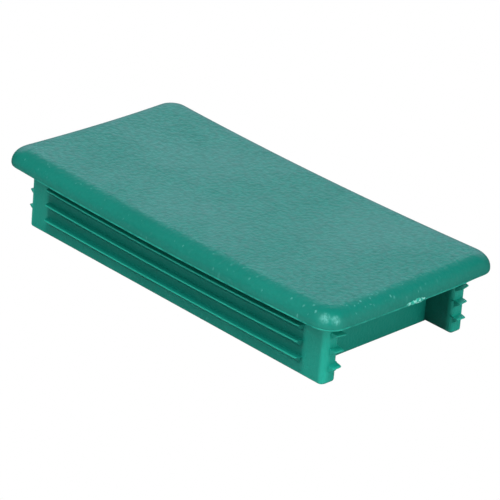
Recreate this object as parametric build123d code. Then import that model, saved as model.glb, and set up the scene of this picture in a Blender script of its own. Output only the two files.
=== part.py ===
from build123d import *
import os

# Moulded cap that closes the sawn end of a double-height strut channel.
# Frame: +X along the long side, +Y across, +Z up. The cap stands on the open
# rim of its plug, and the origin is at the middle of that rim's plane.
# All sizes are in millimetres.

# Channel that the cap closes
channel_height = 82.0          # long side of the channel's section
channel_width = 41.0           # short side of the channel's section
channel_wall = 2.5             # sheet thickness of the channel

# Cover plate
end_overhang = 1.0             # plate beyond the channel at each short side
side_overhang = 0.5            # plate beyond the channel at each long side
plate_thickness = 3.5
plate_corner_radius = 3.9      # corners seen from above
rim_round = 3.0                # round along the plate's upper edge
rim_break = 0.15               # small round along the plate's lower edge

# Plug that enters the channel
plug_depth = 11.6              # from the plate's underside to the open rim
end_clearance = 0.1            # plug to channel, at each short side
side_clearance = 0.8           # plug to channel, at each long side
plug_wall = 2.35
plug_corner_radius = 1.95      # upright outer corners
end_recess = 6.65              # cross wall behind the plug's ends, clear of the channel's lips
hollow_corner_radius = 0.8     # upright corners of the hollow
notch_corner_radius = 0.5      # upright corners of the end notches
foot_round = 0.6               # round along the outside of the open rim

# Barbed ribs along the two long faces
rib_count = 3
rib_first_depth = 2.5          # upper face of the first rib below the plate
rib_pitch = 3.0
rib_reach = 1.55               # tip beyond the plug's long face
rib_height = 1.4               # at the root
rib_tip_land = 0.2             # blunt edge of the tip
rib_end_margin = 5.8           # rib's end to the plug's end

# Barbed teeth on the ends of the four stubs
tooth_count = 3
tooth_first_depth = 2.3        # tip of the first tooth below the plate
tooth_pitch = 3.0
tooth_reach = 1.25             # tip beyond the plug's end
tooth_height = 1.7             # at the root
tooth_tip_drop = 0.2           # tip below the top of the root
tooth_tip_land = 0.2
tooth_margin = 1.0             # tooth's outer end to the plug's long face

# Derived sizes
plate_length = channel_height + 2 * end_overhang
plate_width = channel_width + 2 * side_overhang
plug_length = channel_height - 2 * (channel_wall + end_clearance)
plug_width = channel_width - 2 * (channel_wall + side_clearance)
notch_width = plug_width - 2 * plug_wall
hollow_length = plug_length - 2 * (end_recess + plug_wall)
rib_length = plug_length - 2 * rib_end_margin
tooth_width = plug_wall - tooth_margin


def edges_at_height(solid, height):
    """Edges of a solid that lie in the level plane at the given height."""
    return solid.edges().filter_by_position(Axis.Z, height, height)


def cover_plate():
    """Flat plate with rounded corners and a large round along its upper edge."""
    outline = RectangleRounded(plate_length, plate_width, plate_corner_radius)
    plate = extrude(outline, plate_thickness)
    plate = fillet(edges_at_height(plate, plate_thickness), rim_round)
    plate = fillet(edges_at_height(plate, 0), rim_break)
    return Pos(0, 0, plug_depth) * plate


def plug_walls():
    """Open box between two long walls that run on past it as four corner stubs."""
    block = extrude(RectangleRounded(plug_length, plug_width, plug_corner_radius), plug_depth)
    block = fillet(edges_at_height(block, 0), foot_round)
    block -= extrude(RectangleRounded(hollow_length, notch_width, hollow_corner_radius), plug_depth)
    notch_length = 2 * end_recess
    notch = extrude(RectangleRounded(notch_length, notch_width, notch_corner_radius), plug_depth)
    for side in (-1, 1):
        block -= Pos(side * plug_length / 2, 0, 0) * notch
    return block


def barb_outline(root, reach, height, tip_drop, tip_land):
    """Section of a barb that points along +X; its root's top corner is at the origin."""
    return Polygon(
        (-root, 0),
        (0, 0),
        (reach, -tip_drop),
        (reach, -tip_drop - tip_land),
        (0, -height),
        (-root, -height),
        align=None,
    )


def side_ribs():
    """Barbed ribs along both long faces of the plug."""
    outline = barb_outline(plug_wall / 2, rib_reach, rib_height, 0, rib_tip_land)
    rib = extrude(Plane.YZ * outline, rib_length / 2, both=True)
    ribs = []
    for row in range(rib_count):
        height = plug_depth - rib_first_depth - row * rib_pitch
        placed = Pos(0, plug_width / 2, height) * rib
        ribs += [placed, mirror(placed, Plane.XZ)]
    return ribs


def end_teeth():
    """Barbed teeth on the end faces of the four stubs."""
    outline = barb_outline(
        plug_corner_radius, tooth_reach, tooth_height, tooth_tip_drop, tooth_tip_land
    )
    tooth = extrude(Plane.XZ * outline, -tooth_width)
    teeth = []
    for row in range(tooth_count):
        height = plug_depth - tooth_first_depth + tooth_tip_drop - row * tooth_pitch
        near = Pos(plug_length / 2, notch_width / 2, height) * tooth
        pair = [near, mirror(near, Plane.XZ)]
        teeth += pair + [mirror(one, Plane.YZ) for one in pair]
    return teeth


def end_cap():
    """The whole cap as one moulded solid."""
    cap = cover_plate() + plug_walls()
    for barb in side_ribs() + end_teeth():
        cap += barb
    return cap.clean()


os.makedirs("parts", exist_ok=True)
cap = end_cap()
cap.label = "end_cap"
export_step(cap, "parts/end_cap.step")
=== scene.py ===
"""Looks of a moulded end cap for strut channel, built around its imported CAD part.

Everything is in metres in the part's own frame: +X along the cap, +Y across it and
+Z up from the open rim of the plug, on which the cap stands.
"""

import logging
import math
from dataclasses import dataclass
from enum import Enum
from typing import Iterable, Optional, Sequence, Union

import bmesh
import bpy
from mathutils import Matrix, Vector, noise

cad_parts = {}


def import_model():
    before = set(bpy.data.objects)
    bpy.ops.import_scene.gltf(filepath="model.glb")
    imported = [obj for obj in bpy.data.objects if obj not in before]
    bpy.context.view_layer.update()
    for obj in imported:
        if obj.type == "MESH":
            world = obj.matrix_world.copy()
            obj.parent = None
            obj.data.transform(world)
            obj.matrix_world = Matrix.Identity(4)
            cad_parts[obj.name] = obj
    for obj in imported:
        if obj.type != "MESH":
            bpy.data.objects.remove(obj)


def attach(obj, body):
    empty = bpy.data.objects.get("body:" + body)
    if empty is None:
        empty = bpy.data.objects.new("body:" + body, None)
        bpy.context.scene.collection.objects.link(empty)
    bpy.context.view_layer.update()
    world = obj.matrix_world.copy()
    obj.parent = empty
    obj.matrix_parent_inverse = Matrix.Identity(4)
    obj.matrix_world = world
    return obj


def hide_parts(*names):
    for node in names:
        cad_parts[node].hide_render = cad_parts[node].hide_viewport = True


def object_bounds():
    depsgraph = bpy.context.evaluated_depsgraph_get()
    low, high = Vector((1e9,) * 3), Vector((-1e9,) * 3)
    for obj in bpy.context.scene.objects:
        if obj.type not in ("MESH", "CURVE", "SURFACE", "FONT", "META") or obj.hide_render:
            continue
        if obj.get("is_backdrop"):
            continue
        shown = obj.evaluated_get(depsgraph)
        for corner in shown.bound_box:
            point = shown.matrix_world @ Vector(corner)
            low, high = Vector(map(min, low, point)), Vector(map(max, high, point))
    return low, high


MM = 0.001
CAP_NODE = "end_cap"
LOG = logging.getLogger("end_cap")

Colour = tuple[float, float, float]
Span = tuple[float, float]
Piece = bpy.types.Object
Material = bpy.types.Material
Node = bpy.types.Node
Socket = bpy.types.NodeSocket
Feed = Union[float, Sequence[float], Socket]


class Side(Enum):
    """Which way along an axis a repeated feature faces."""

    LOW = -1
    HIGH = 1


class Surface(Enum):
    """Finish that a stretch of the moulding has left the mould with."""

    GRAINED_COVER = "grained_cover"
    SATIN_PLUG = "satin_plug"
    FLASH_LINE = "flash_line"
    TORN_GATE = "torn_gate"


def blend_share(value: float) -> float:
    """Smooth step of value from 0 to 1."""
    value = min(max(value, 0.0), 1.0)
    return value * value * (3.0 - 2.0 * value)


def steps(count: int) -> list[float]:
    """Evenly spaced shares from 0 to 1, both included."""
    return [index / count for index in range(count + 1)]


@dataclass(frozen=True)
class Curl:
    """Shrinkage that has pulled the moulded plate's rim up out of flat.

    The lift is full at the plate and fades out down the plug, whose open rim stays level
    and is left a little wider than its root.
    """

    half_length: float
    half_width: float
    low_end_rise: float = 0.63 * MM
    high_end_rise: float = 0.76 * MM
    low_side_rise: float = 0.30 * MM
    high_side_rise: float = 0.21 * MM
    corner_rise: float = 0.06 * MM
    back_corner_rise: float = 0.34 * MM
    flare: float = 0.003
    middle_sink: float = 0.53 * MM
    full_height: float = 8.0 * MM

    def bend(self, point: Vector) -> Vector:
        """Place of a point once the moulding has shrunk.

        Args:
            point: Place on the flat cap.

        Returns:
            The same point, lifted or lowered.
        """
        end_rise = self.low_end_rise if point.x < 0 else self.high_end_rise
        side_rise = self.low_side_rise if point.y < 0 else self.high_side_rise
        end_share = (point.x / self.half_length) ** 2
        side_share = (point.y / self.half_width) ** 2
        rise = end_rise * end_share + side_rise * side_share
        back_corner = point.x < 0 < point.y
        corner_rise = self.back_corner_rise if back_corner else self.corner_rise
        rise += corner_rise * end_share * side_share
        held = blend_share(point.z / self.full_height)
        spread = 1.0 + self.flare * (1.0 - held)
        lift = held * (rise - self.middle_sink)
        return Vector((point.x * spread, point.y * spread, point.z + lift))


@dataclass(frozen=True)
class OutlinePoint:
    """Point of a plan outline with the outline's outward direction there."""

    x: float
    y: float
    out_x: float
    out_y: float

    def inset(self, distance: float, height: float) -> Vector:
        """Point that lies the given distance inside the outline, at a height."""
        return Vector((self.x - self.out_x * distance, self.y - self.out_y * distance, height))


@dataclass(frozen=True)
class Corner:
    """Corner of a plan outline with the radius that rounds it off."""

    x: float
    y: float
    radius: float


@dataclass(frozen=True)
class Plan:
    """Closed plan outline, anticlockwise, with straight sides and rounded corners.

    Args:
        corners: Corners in order, outward or inward.
        arc_steps: Steps round each corner.
        spacing: Longest step along a straight side; the steps stay the same as rings shrink.
    """

    corners: tuple[Corner, ...]
    arc_steps: int = 10
    side_steps: Optional[tuple[int, ...]] = None
    spacing: float = 1.5 * MM

    @classmethod
    def rectangle(
        cls,
        half_x: float,
        half_y: float,
        radius: float,
        arc_steps: int,
        side_steps: tuple[int, int],
    ) -> "Plan":
        """Rectangle about the middle, with one radius and fixed steps along its sides.

        Args:
            half_x: Half of the length.
            half_y: Half of the width.
            radius: Radius of all four corners.
            arc_steps: Steps round each corner.
            side_steps: Steps along the length and along the width.

        Returns:
            The plan.
        """
        ways = ((1, -1), (1, 1), (-1, 1), (-1, -1))
        corners = tuple(Corner(half_x * x, half_y * y, radius) for x, y in ways)
        along_x, along_y = side_steps
        return cls(corners, arc_steps, (along_y, along_x, along_y, along_x))

    def outline(self) -> list[OutlinePoint]:
        """Points round the outline with the outline's outward direction at each.

        Returns:
            The points, anticlockwise.
        """
        count = len(self.corners)
        arcs = [self._arc(index) for index in range(count)]
        points: list[OutlinePoint] = []
        for index, arc in enumerate(arcs):
            points += arc
            start, end = arc[-1], arcs[(index + 1) % count][0]
            length = math.hypot(end.x - start.x, end.y - start.y)
            if self.side_steps:
                number = self.side_steps[index]
            else:
                number = max(1, math.ceil(length / self.spacing))
            for share in steps(number)[1:-1]:
                x = start.x + (end.x - start.x) * share
                y = start.y + (end.y - start.y) * share
                points.append(OutlinePoint(x, y, start.out_x, start.out_y))
        return points

    def _arc(self, index: int) -> list[OutlinePoint]:
        """Points of the arc that rounds a corner off.

        Args:
            index: Which corner.

        Returns:
            The arc's points, in the outline's order.
        """
        count = len(self.corners)
        corner = self.corners[index]
        before, after = self.corners[index - 1], self.corners[(index + 1) % count]
        way_in = Vector((corner.x - before.x, corner.y - before.y)).normalized()
        way_out = Vector((after.x - corner.x, after.y - corner.y)).normalized()
        turn = math.atan2(way_in.x * way_out.y - way_in.y * way_out.x, way_in.dot(way_out))
        side = 1.0 if turn > 0 else -1.0
        reach = corner.radius * math.tan(abs(turn) / 2)
        out = Vector((way_in.y, -way_in.x))
        centre = Vector((corner.x, corner.y)) - way_in * reach - out * side * corner.radius
        points = []
        for share in steps(self.arc_steps):
            angle = turn * share
            facing = Vector(
                (
                    out.x * math.cos(angle) - out.y * math.sin(angle),
                    out.x * math.sin(angle) + out.y * math.cos(angle),
                )
            )
            place = centre + facing * side * corner.radius
            points.append(OutlinePoint(place.x, place.y, facing.x, facing.y))
        return points


class Skin:
    """Mesh made of closed rings of points, each joined to the one before it."""

    merge_distance: float = 0.001 * MM

    def __init__(self, curl: Curl) -> None:
        """Start an empty skin.

        Args:
            curl: Shrinkage that every point follows.
        """
        self.mesh = bmesh.new()
        self.curl = curl
        self.last: list[bmesh.types.BMVert] = []

    def ring(self, points: Iterable[Vector]) -> None:
        """Add a ring and join it to the last one with quads.

        Args:
            points: Points of the ring, in order, before the moulding has shrunk.
        """
        verts = [self.mesh.verts.new(self.curl.bend(point)) for point in points]
        if self.last:
            count = len(verts)
            for index in range(count):
                after = (index + 1) % count
                self.mesh.faces.new(
                    (self.last[index], self.last[after], verts[after], verts[index])
                )
        self.last = verts

    def close(self) -> None:
        """Close the skin over its last ring with one face."""
        self.mesh.faces.new(self.last)

    def close_start(self) -> None:
        """Start a closed end: the last ring becomes a face that looks backwards."""
        self.mesh.faces.new(list(reversed(self.last)))

    def finish(self, name: str, material: Material) -> Piece:
        """Turn the skin into a smooth shaded object that carries a material.

        Args:
            name: Object's name.
            material: Finish of all its faces.

        Returns:
            The new object, linked to the scene.
        """
        bmesh.ops.remove_doubles(self.mesh, verts=self.mesh.verts, dist=self.merge_distance)
        bmesh.ops.recalc_face_normals(self.mesh, faces=self.mesh.faces)
        data = bpy.data.meshes.new(name)
        self.mesh.to_mesh(data)
        self.mesh.free()
        for polygon in data.polygons:
            polygon.use_smooth = True
        data.materials.append(material)
        made = bpy.data.objects.new(name, data)
        bpy.context.scene.collection.objects.link(made)
        shading = made.modifiers.new("even_shading", "WEIGHTED_NORMAL")
        shading.keep_sharp = True
        return made


@dataclass(frozen=True)
class CoverPlate:
    """Plate with rounded corners and a large round along its upper edge."""

    half_length: float
    half_width: float
    seat_height: float
    thickness: float = 3.5 * MM
    corner_radius: float = 3.6 * MM
    rim_round: float = 3.0 * MM
    rim_break: float = 0.45 * MM
    corner_tightening: float = 0.45
    smallest_radius: float = 0.3 * MM
    field_spacing: float = 1.5 * MM
    arc_steps: int = 14
    side_steps: tuple[int, int] = (56, 28)
    break_steps: int = 6
    round_steps: int = 14

    def build(self, curl: Curl, material: Material) -> Piece:
        """Skin the plate from the middle of its underside round to the middle of its top.

        Args:
            curl: Shrinkage of the moulding.
            material: Finish of the plate.

        Returns:
            The plate as one object.
        """
        skin = Skin(curl)
        fields = self._field_insets()
        for inset in reversed(fields):
            skin.ring(self._ring(max(inset, self.rim_break), self.seat_height))
        for share in steps(self.break_steps):
            angle = share * math.pi / 2
            inset = self.rim_break * (1 - math.sin(angle))
            height = self.rim_break * (1 - math.cos(angle))
            skin.ring(self._ring(inset, self.seat_height + height))
        round_start = self.seat_height + self.thickness - self.rim_round
        for share in steps(self.round_steps):
            angle = share * math.pi / 2
            inset = self.rim_round * (1 - math.cos(angle))
            skin.ring(self._ring(inset, round_start + self.rim_round * math.sin(angle)))
        top = self.seat_height + self.thickness
        for inset in fields:
            if inset > self.rim_round:
                skin.ring(self._ring(inset, top))
        return skin.finish("cover_plate", material)

    def _field_insets(self) -> list[float]:
        """Insets of the rings that cover a flat side, out to in, down to its middle line."""
        count = round(self.half_width / self.field_spacing)
        return [self.half_width * share for share in steps(count)]

    def _ring(self, inset: float, height: float) -> list[Vector]:
        """Ring of the plate's outline, set inwards, at a height.

        Args:
            inset: How far inside the outline the ring lies.
            height: Height of the ring.

        Returns:
            Points of the ring.
        """
        half_x, half_y = self.half_length - inset, max(self.half_width - inset, 0.0)
        tightened = self.corner_radius - self.corner_tightening * inset
        radius = min(max(tightened, self.smallest_radius), half_y)
        plan = Plan.rectangle(half_x, half_y, radius, self.arc_steps, self.side_steps)
        return [point.inset(0.0, height) for point in plan.outline()]


@dataclass(frozen=True)
class FootRound:
    """Rounding of a wall's foot, which differs with the way the wall faces."""

    ends: float
    low_side: float
    high_side: float

    def radius(self, point: OutlinePoint) -> float:
        """Radius of the rounding at a point of the wall's outline."""
        side = self.high_side if point.out_y > 0 else self.low_side
        return side + (self.ends - side) * point.out_x**2


@dataclass(frozen=True)
class Wall:
    """Upright wall of the plug with a rounded foot."""

    plan: Plan
    top: float
    foot: FootRound
    foot_steps: int = 7
    height_steps: int = 12

    def build(self, name: str, curl: Curl, material: Material) -> Piece:
        """Skin the wall from its foot up into the plate.

        Args:
            name: Object's name.
            curl: Shrinkage of the moulding.
            material: Finish of the wall.

        Returns:
            The wall as one object.
        """
        outline = self.plan.outline()
        radii = [self.foot.radius(point) for point in outline]
        skin = Skin(curl)
        for share in steps(self.foot_steps):
            angle = share * math.pi / 2
            inset, height = 1 - math.sin(angle), 1 - math.cos(angle)
            skin.ring(
                point.inset(radius * inset, radius * height)
                for point, radius in zip(outline, radii)
            )
            if share == 0:
                skin.close_start()
        for share in steps(self.height_steps)[1:]:
            skin.ring(
                point.inset(0.0, radius + (self.top - radius) * share)
                for point, radius in zip(outline, radii)
            )
        skin.close()
        return skin.finish(name, material)


@dataclass(frozen=True)
class BarbSection:
    """Section of a barb: level upper face, blunt rounded tip and sloping lead-in.

    Its points are (reach, rise) pairs from the top corner of the barb's root.
    """

    reach: float
    height: float
    tip_drop: float
    tip_land: float
    root_depth: float
    tip_round: float = 0.14 * MM
    root_fillet: float = 0.25 * MM
    corner_steps: int = 4

    def points(self) -> list[tuple[float, float]]:
        """Closed section with its tip and its two root corners rounded.

        Returns:
            (reach, rise) pairs in order round the section.
        """
        fillet = self.root_fillet
        top = [(-self.root_depth, fillet), (0.0, fillet)]
        bottom = [(0.0, -self.height - fillet), (-self.root_depth, -self.height - fillet)]
        corners = [
            ((0.0, 0.0), fillet),
            ((self.reach, -self.tip_drop), self.tip_round),
            ((self.reach, -self.tip_drop - self.tip_land), self.tip_round),
            ((0.0, -self.height), fillet),
        ]
        path = [top[1], *[corner for corner, _ in corners], bottom[0]]
        made = [top[0]]
        for index, (_, radius) in enumerate(corners, start=1):
            made += self._rounded(path[index - 1], path[index], path[index + 1], radius)
        return made + [bottom[1]]

    def _rounded(
        self,
        before: tuple[float, float],
        corner: tuple[float, float],
        after: tuple[float, float],
        cut: float,
    ) -> list[tuple[float, float]]:
        """Corner replaced by a curve that leaves and joins its two sides smoothly.

        Args:
            before: Point before the corner.
            corner: Corner to round.
            after: Point after the corner.
            cut: Length of each side that the curve takes.

        Returns:
            Points of the curve.
        """
        middle = Vector(corner)
        way_in = Vector(before) - middle
        way_out = Vector(after) - middle
        start = middle + way_in.normalized() * min(cut, way_in.length / 2)
        end = middle + way_out.normalized() * min(cut, way_out.length / 2)
        curve = []
        for share in steps(self.corner_steps):
            first = start.lerp(middle, share)
            second = middle.lerp(end, share)
            point = first.lerp(second, share)
            curve.append((point.x, point.y))
        return curve


@dataclass(frozen=True)
class Barb:
    """Barb swept along a straight line, whose ends sweep back to the wall.

    Args:
        section: Section of the barb.
        origin: Root's top corner at the middle of the barb's length.
        outward: Way in which the barb reaches out.
        along: Way in which it is swept.
        length: Whole length.
        low_sweep: Length of the swept-back end on the low side.
        high_sweep: Length of the swept-back end on the high side.
        high_share: Share of the section's reach that is left at the high side.
    """

    section: BarbSection
    origin: Vector
    outward: Vector
    along: Vector
    length: float
    low_sweep: float
    high_sweep: float
    high_share: float = 1.0
    sweep_steps: int = 10
    run_steps: int = 30
    sunk: float = 0.03 * MM
    least_share: float = 0.15

    def build(self, name: str, curl: Curl, material: Material) -> Piece:
        """Skin the barb from one end to the other.

        Args:
            name: Object's name.
            curl: Shrinkage of the moulding.
            material: Finish of the barb.

        Returns:
            The barb as one object.
        """
        skin = Skin(curl)
        for index, (place, share) in enumerate(self._stations()):
            skin.ring(self._ring(place, share))
            if index == 0:
                skin.close_start()
        skin.close()
        return skin.finish(name, material)

    def _stations(self) -> list[tuple[float, float]]:
        """Places along the barb, each with the share of its full reach there.

        Returns:
            (place, share) pairs from the low end to the high end.
        """
        half = self.length / 2
        turns = [share * math.pi / 2 for share in steps(self.sweep_steps)]
        stations = [
            (-half + self.low_sweep * (1 - math.cos(turn)), math.sin(turn)) for turn in turns
        ]
        start, end = -half + self.low_sweep, half - self.high_sweep
        stations += [
            (start + (end - start) * share, 1.0) for share in steps(self.run_steps)[1:-1]
        ]
        stations += [
            (half - self.high_sweep * (1 - math.cos(turn)), math.sin(turn))
            for turn in reversed(turns)
        ]
        return stations

    def _ring(self, place: float, share: float) -> list[Vector]:
        """Section at a place along the sweep, with a share of its full reach.

        Args:
            place: Distance along the sweep from the middle.
            share: Share of the full reach.

        Returns:
            Points of the ring.
        """
        taper = 1.0 + (self.high_share - 1.0) * (place / self.length + 0.5)
        points = []
        for reach, rise in self.section.points():
            out = reach * share * taper - self.sunk if reach > 0 else reach
            drop = rise * max(share, self.least_share) if rise < 0 else rise
            spot = self.origin + self.outward * out + self.along * place
            points.append(spot + Vector((0.0, 0.0, drop)))
        return points


@dataclass(frozen=True)
class Plug:
    """Hollow plug: two long walls, two set-back cross walls, barbed ribs and teeth.

    Each long wall ends in two stubs, which are thicker than the wall and carry the teeth.
    """

    depth: float
    half_length: float = 38.2 * MM
    half_width: float = 17.4 * MM
    off_centre: float = 0.12 * MM
    hollow_half: float = 14.85 * MM
    stub_inner: float = 14.3 * MM
    corner_radius: float = 1.1 * MM
    inner_edge: float = 0.7 * MM
    step_lean: float = 0.7 * MM
    cross_edge: float = 0.2 * MM
    cross_outer: float = 31.95 * MM
    wall: float = 2.35 * MM
    overlap: float = 0.3 * MM
    outer_foot: float = 0.15 * MM
    inner_foot: float = 0.6 * MM
    end_foot: float = 0.55 * MM
    cross_foot: float = 0.2 * MM
    row_pitch: float = 3.0 * MM
    rib_first_depth: float = 2.25 * MM
    rib_reach: float = 1.35 * MM
    rib_height: float = 1.4 * MM
    rib_half_length: float = 33.0 * MM
    rib_sweep: float = 0.6 * MM
    rib_root: float = 1.0 * MM
    tooth_first_depth: float = 2.3 * MM
    tooth_reaches: tuple[float, ...] = (1.75 * MM, 1.5 * MM, 1.2 * MM)
    tooth_outer_reach: float = 1.35 * MM
    tooth_height: float = 1.3 * MM
    tooth_drop: float = 0.15 * MM
    tooth_inner: float = 14.32 * MM
    tooth_outer: float = 16.4 * MM
    tooth_sweep: float = 0.15 * MM
    tooth_root: float = 0.9 * MM
    rib_land: float = 0.18 * MM
    tooth_land: float = 0.22 * MM
    cross_steps: int = 4
    tooth_steps: int = 2

    def build(self, curl: Curl, material: Material) -> list[Piece]:
        """Build every wall, rib and tooth of the plug.

        Args:
            curl: Shrinkage of the moulding.
            material: Finish of the plug.

        Returns:
            The plug's objects.
        """
        made: list[Piece] = []
        for side in Side:
            made.append(self._long_wall(side, curl, material))
            made.append(self._cross_wall(side, curl, material))
            made += self._ribs(side, curl, material)
        for end in Side:
            for side in Side:
                made += self._teeth(end, side, curl, material)
        for piece in made:
            piece.data.transform(Matrix.Translation((self.off_centre, 0.0, 0.0)))
        return made

    def _long_wall(self, side: Side, curl: Curl, material: Material) -> Piece:
        """Long wall on one side, with a thicker stub at each end.

        The inner face steps to the stub's over a short slope, inside the cross wall.

        Args:
            side: Which side of the cap it is on.
            curl: Shrinkage of the moulding.
            material: Finish of the plug.

        Returns:
            The wall.
        """
        middle, lean = self.cross_outer - self.wall / 2, self.step_lean
        way = side.value
        outer, inner, hollow = way * self.half_width, way * self.stub_inner, way * self.hollow_half
        corners = [
            Corner(-self.half_length, outer, self.corner_radius),
            Corner(self.half_length, outer, self.corner_radius),
            Corner(self.half_length, inner, self.inner_edge),
            Corner(middle + lean, inner, self.inner_edge),
            Corner(middle - lean, hollow, self.inner_edge),
            Corner(-middle + lean, hollow, self.inner_edge),
            Corner(-middle - lean, inner, self.inner_edge),
            Corner(-self.half_length, inner, self.inner_edge),
        ]
        if side is Side.HIGH:
            corners.reverse()
        sides = (self.outer_foot, self.inner_foot)
        low, high = sides if side is Side.LOW else sides[::-1]
        wall = Wall(
            Plan(tuple(corners)), self.depth + self.overlap, FootRound(self.end_foot, low, high)
        )
        return wall.build(f"long_wall_{side.name.lower()}", curl, material)

    def _cross_wall(self, side: Side, curl: Curl, material: Material) -> Piece:
        """Cross wall that joins the long walls near one end.

        Args:
            side: Which end of the cap it is near.
            curl: Shrinkage of the moulding.
            material: Finish of the plug.

        Returns:
            The wall.
        """
        way = side.value
        inner, outer = way * (self.cross_outer - self.wall), way * self.cross_outer
        half = self.hollow_half + self.overlap
        spots = [(inner, -half), (outer, -half), (outer, half), (inner, half)]
        if side is Side.LOW:
            spots.reverse()
        corners = tuple(Corner(x, y, self.cross_edge) for x, y in spots)
        foot = FootRound(self.cross_foot, self.cross_foot, self.cross_foot)
        wall = Wall(Plan(corners, self.cross_steps), self.depth + self.overlap, foot)
        return wall.build(f"cross_wall_{side.name.lower()}", curl, material)

    def _ribs(self, side: Side, curl: Curl, material: Material) -> list[Piece]:
        """Ribs along one long face, top to bottom.

        Args:
            side: Which long face they are on.
            curl: Shrinkage of the moulding.
            material: Finish of the plug.

        Returns:
            The ribs.
        """
        section = BarbSection(self.rib_reach, self.rib_height, 0.0, self.rib_land, self.rib_root)
        made = []
        for row in range(len(self.tooth_reaches)):
            height = self.depth - self.rib_first_depth - row * self.row_pitch
            rib = Barb(
                section,
                Vector((0.0, side.value * self.half_width, height)),
                Vector((0.0, side.value, 0.0)),
                Vector((1.0, 0.0, 0.0)),
                2 * self.rib_half_length,
                self.rib_sweep,
                self.rib_sweep,
            )
            made.append(rib.build(f"rib_{side.name.lower()}_{row + 1}", curl, material))
        return made

    def _teeth(self, end: Side, side: Side, curl: Curl, material: Material) -> list[Piece]:
        """Teeth on the end face of one stub, top to bottom.

        Args:
            end: Which end of the cap the stub is at.
            side: Which side of the cap the stub is on.
            curl: Shrinkage of the moulding.
            material: Finish of the plug.

        Returns:
            The teeth.
        """
        width = self.tooth_outer - self.tooth_inner
        middle = self.tooth_inner + width / 2
        made = []
        for row, reach in enumerate(self.tooth_reaches):
            section = BarbSection(
                reach, self.tooth_height, self.tooth_drop, self.tooth_land, self.tooth_root
            )
            top = self.depth - self.tooth_first_depth + self.tooth_drop
            tooth = Barb(
                section,
                Vector(
                    (end.value * self.half_length, side.value * middle, top - row * self.row_pitch)
                ),
                Vector((end.value, 0.0, 0.0)),
                Vector((0.0, side.value, 0.0)),
                width,
                self.tooth_sweep,
                self.tooth_sweep,
                self.tooth_outer_reach / reach,
                run_steps=self.tooth_steps,
            )
            name = f"tooth_{end.name.lower()}_{side.name.lower()}_{row + 1}"
            made.append(tooth.build(name, curl, material))
        return made


@dataclass(frozen=True)
class FlashLine:
    """Fine bead of flash where the mould's halves met, round the plate's lower edge.

    It stands full round the corner of high X and low Y and fades over two spans, given as
    the places where it is gone and where it is full.
    """

    plate: CoverPlate
    radius: float = 0.17 * MM
    inset: float = 0.10 * MM
    height: float = 0.20 * MM
    uneven: float = 0.2
    waves_per_mm: float = 0.35
    seed_height: float = 7.7
    least_share: float = 0.3
    fade_x: Span = (-35.0 * MM, -29.0 * MM)
    fade_y: Span = (14.5 * MM, 11.5 * MM)
    loop_steps: int = 8

    def build(self, curl: Curl, material: Material) -> Piece:
        """Skin the bead as rings of the plate's outline, turned about its own line.

        Args:
            curl: Shrinkage of the moulding.
            material: Finish of the flash.

        Returns:
            The bead as one object.
        """
        plate = self.plate
        plan = Plan.rectangle(
            plate.half_length,
            plate.half_width,
            plate.corner_radius,
            plate.arc_steps,
            plate.side_steps,
        )
        outline = plan.outline()
        swells = [self._swell(point) for point in outline]
        skin = Skin(curl)
        for share in steps(self.loop_steps):
            angle = 2 * math.pi * share
            skin.ring(
                point.inset(
                    self.inset - self.radius * swell * math.cos(angle),
                    plate.seat_height + self.height + self.radius * swell * math.sin(angle),
                )
                for point, swell in zip(outline, swells)
            )
        return skin.finish("flash_line", material)

    def _swell(self, point: OutlinePoint) -> float:
        """Share of the full radius that the bead has at a point of the outline.

        Args:
            point: Point of the outline.

        Returns:
            The share, a little over 1 at the bead's thickest.
        """
        spot = Vector((point.x, point.y, 0.0)) / MM * self.waves_per_mm
        ripple = self.uneven * noise.noise(spot + Vector((0.0, 0.0, self.seed_height)))
        full = 1.0
        for place, (gone, whole) in ((point.x, self.fade_x), (point.y, self.fade_y)):
            full *= blend_share((place - gone) / (whole - gone))
        return (1.0 + ripple) * (self.least_share + (1.0 - self.least_share) * full)


@dataclass(frozen=True)
class GateScar:
    """Ragged remnant of the gate on the plate's lower edge, at the middle of one end."""

    plate: CoverPlate
    half_width: float = 2.3 * MM
    hang: float = 0.44 * MM
    reach: float = 0.16 * MM
    thickness: float = 0.62 * MM
    sunk: float = 0.02 * MM
    raggedness: float = 1.9
    seed_height: float = 3.1
    ripple_share: float = 0.3
    lump_rise: float = 0.5
    lump_gain: float = 1.8
    end_share: float = 0.05
    sweep_steps: int = 44
    loop_points: int = 10

    def build(self, curl: Curl, material: Material) -> Piece:
        """Skin the scar as a lumpy bead along the edge.

        Args:
            curl: Shrinkage of the moulding.
            material: Finish of torn plastic.

        Returns:
            The scar as one object.
        """
        skin = Skin(curl)
        edge_x = self.plate.half_length
        for index, share in enumerate(steps(self.sweep_steps)):
            place = -self.half_width + 2 * self.half_width * share
            swell = math.sqrt(math.sin(math.pi * share)) if 0 < share < 1 else self.end_share
            lump = self._lump(place, 0.0)
            centre = Vector((edge_x - self.sunk, place, self.plate.seat_height + self.hang))
            points = []
            for turn in range(self.loop_points):
                angle = 2 * math.pi * turn / self.loop_points
                ripple = 1 + self.ripple_share * self._lump(place, angle)
                out = (self.thickness / 2 + self.reach * lump) * math.cos(angle) * swell * ripple
                up = self.hang * (1 + self.lump_rise * lump) * math.sin(angle) * swell * ripple
                points.append(centre + Vector((out, 0.0, up)))
            skin.ring(points)
            if index == 0:
                skin.close_start()
        skin.close()
        return skin.finish("gate_scar", material)

    def _lump(self, place: float, angle: float) -> float:
        """Uneven swelling of the torn bead, from about -1 to 1."""
        spot = Vector((place / MM * self.raggedness, math.cos(angle), self.seed_height + angle))
        return noise.noise(spot) * self.lump_gain


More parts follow.
